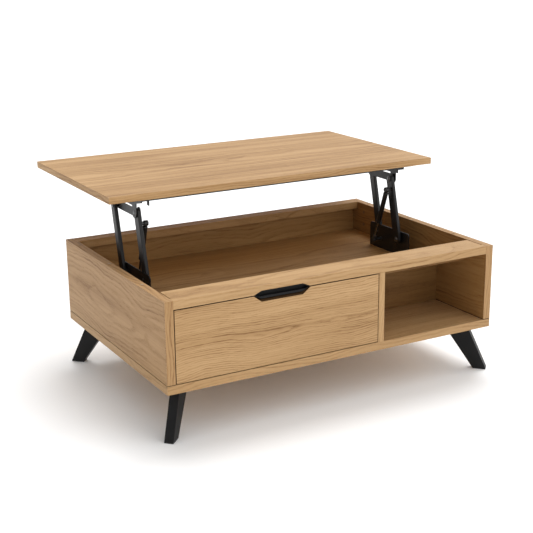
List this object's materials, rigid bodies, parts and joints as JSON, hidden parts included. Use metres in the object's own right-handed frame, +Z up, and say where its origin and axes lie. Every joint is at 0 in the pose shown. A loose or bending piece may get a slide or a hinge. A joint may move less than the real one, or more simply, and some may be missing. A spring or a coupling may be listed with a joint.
{
  "type": "lift top coffee table",
  "caption": "Low oak coffee table whose lid rises level on parallel arms, over a storage well, with a drawer, an open cubby and splayed black steel legs.",
  "frame": {"origin": "on the floor, under the centre of the whole box with the lid raised", "axes": "+X along the table's length, to the right seen from the drawer side; -Y out of the drawer side; +Z up"},
  "size_m": [1.12, 0.9628, 0.62],
  "materials": {
    "oak": "satin oak veneer, grain along the board",
    "oak_inner": "satin oak veneer, seen in shade",
    "drawer_box": "matt lacquered drawer boards",
    "black_steel": "satin black powder coat",
    "black_pull": "satin charcoal powder coat",
    "bright_steel": "zinc plated",
    "felt": "tan felt pads",
    "glide": "matt"
  },
  "bodies": {
    "carcass": {"bottom_panel": "oak", "left_side_panel": "oak", "right_side_panel": "oak", "back_panel": "oak_inner", "back_top_rail": "oak_inner", "front_top_board": "oak", "divider_panel": "oak", "storage_floor": "oak_inner", "storage_slope": "oak_inner", "storage_front_rail": "oak_inner", "cubby_back": "oak_inner", "carcass_screws": "bright_steel", "lid_bumpers": "felt", "leg_front_left": "black_steel", "leg_front_right": "black_steel", "leg_back_left": "black_steel", "leg_back_right": "black_steel", "leg_screws": "bright_steel", "foot_glides": "glide", "mech_base_left": "black_steel", "mech_base_right": "black_steel", "mech_base_screws": "bright_steel", "base_pivot_pins": "black_steel", "strut_base_studs": "black_steel", "runner_cabinet_left": "bright_steel", "runner_cabinet_right": "bright_steel"},
    "left_front_arm": {"front_arm_left": "black_steel", "strut_arm_stud_left": "black_steel"},
    "right_front_arm": {"front_arm_right": "black_steel", "strut_arm_stud_right": "black_steel"},
    "left_rear_arm": {"rear_arm_left": "black_steel"},
    "right_rear_arm": {"rear_arm_right": "black_steel"},
    "left_strut_rod": {"strut_rod_left": "bright_steel"},
    "right_strut_rod": {"strut_rod_right": "bright_steel"},
    "left_strut_tube": {"strut_tube_left": "black_steel"},
    "right_strut_tube": {"strut_tube_right": "black_steel"},
    "lid": {"lid_panel": "oak", "lid_bracket_left": "black_steel", "lid_bracket_right": "black_steel", "lid_bracket_screws": "bright_steel", "lid_pivot_pins": "black_steel", "lid_crossbar": "black_steel"},
    "drawer": {"drawer_front": "oak", "drawer_inner_front": "drawer_box", "drawer_left_side": "drawer_box", "drawer_right_side": "drawer_box", "drawer_back": "drawer_box", "drawer_bottom": "drawer_box", "drawer_pull": "black_pull", "drawer_front_screws": "bright_steel", "runner_drawer_left": "bright_steel", "runner_drawer_right": "bright_steel"},
    "left_runner": {"runner_middle_left": "bright_steel"},
    "right_runner": {"runner_middle_right": "bright_steel"}
  },
  "joints": [
    {"name": "lid_lift", "type": "hinge", "parent": "carcass", "child": "left_front_arm", "pos_m": [-0.448, -0.12439, 0.357], "axis": [1, 0, 0], "range_deg": [0, 103.83]},
    {"name": "left_rear_arm_swing", "type": "hinge", "parent": "carcass", "child": "left_rear_arm", "pos_m": [-0.448, 0.00561, 0.357], "axis": [1, 0, 0], "range_deg": [0, 103.83]},
    {"name": "right_front_arm_swing", "type": "hinge", "parent": "carcass", "child": "right_front_arm", "pos_m": [0.448, -0.12439, 0.357], "axis": [1, 0, 0], "range_deg": [0, 103.83]},
    {"name": "right_rear_arm_swing", "type": "hinge", "parent": "carcass", "child": "right_rear_arm", "pos_m": [0.448, 0.00561, 0.357], "axis": [1, 0, 0], "range_deg": [0, 103.83]},
    {"name": "lid_level", "type": "hinge", "parent": "left_front_arm", "child": "lid", "pos_m": [-0.448, -0.07657, 0.5512], "axis": [1, 0, 0], "range_deg": [-103.83, 0]},
    {"name": "left_strut_swing", "type": "hinge", "parent": "carcass", "child": "left_strut_rod", "pos_m": [-0.448, -0.01939, 0.335], "axis": [1, 0, 0], "range_deg": [0, 65.76]},
    {"name": "left_strut_stretch", "type": "slide", "parent": "left_strut_rod", "child": "left_strut_tube", "axis": [0, -0.3385, 0.941], "range_m": [0, 0.0777]},
    {"name": "right_strut_swing", "type": "hinge", "parent": "carcass", "child": "right_strut_rod", "pos_m": [0.448, -0.01939, 0.335], "axis": [1, 0, 0], "range_deg": [0, 65.76]},
    {"name": "right_strut_stretch", "type": "slide", "parent": "right_strut_rod", "child": "right_strut_tube", "axis": [0, -0.3385, 0.941], "range_m": [0, 0.0777]},
    {"name": "drawer_slide", "type": "slide", "parent": "carcass", "child": "drawer", "axis": [0, -1, 0], "range_m": [0, 0.45]},
    {"name": "left_runner_slide", "type": "slide", "parent": "carcass", "child": "left_runner", "axis": [0, -1, 0], "range_m": [0, 0.225]},
    {"name": "right_runner_slide", "type": "slide", "parent": "carcass", "child": "right_runner", "axis": [0, -1, 0], "range_m": [0, 0.225]}
  ],
  "couplings": [
    {"joint": "left_rear_arm_swing", "follows": "lid_lift", "ratio": 1},
    {"joint": "right_front_arm_swing", "follows": "lid_lift", "ratio": 1},
    {"joint": "right_rear_arm_swing", "follows": "lid_lift", "ratio": 1},
    {"joint": "lid_level", "follows": "lid_lift", "ratio": -1},
    {"joint": "left_strut_swing", "follows": "lid_lift", "ratio": 0.63136},
    {"joint": "left_strut_stretch", "follows": "lid_lift", "m_per_rad": 0.042626},
    {"joint": "left_runner_slide", "follows": "drawer_slide", "ratio": 0.5},
    {"joint": "right_strut_swing", "follows": "lid_lift", "ratio": 0.63136},
    {"joint": "right_strut_stretch", "follows": "lid_lift", "m_per_rad": 0.042626},
    {"joint": "right_runner_slide", "follows": "drawer_slide", "ratio": 0.5}
  ]
}
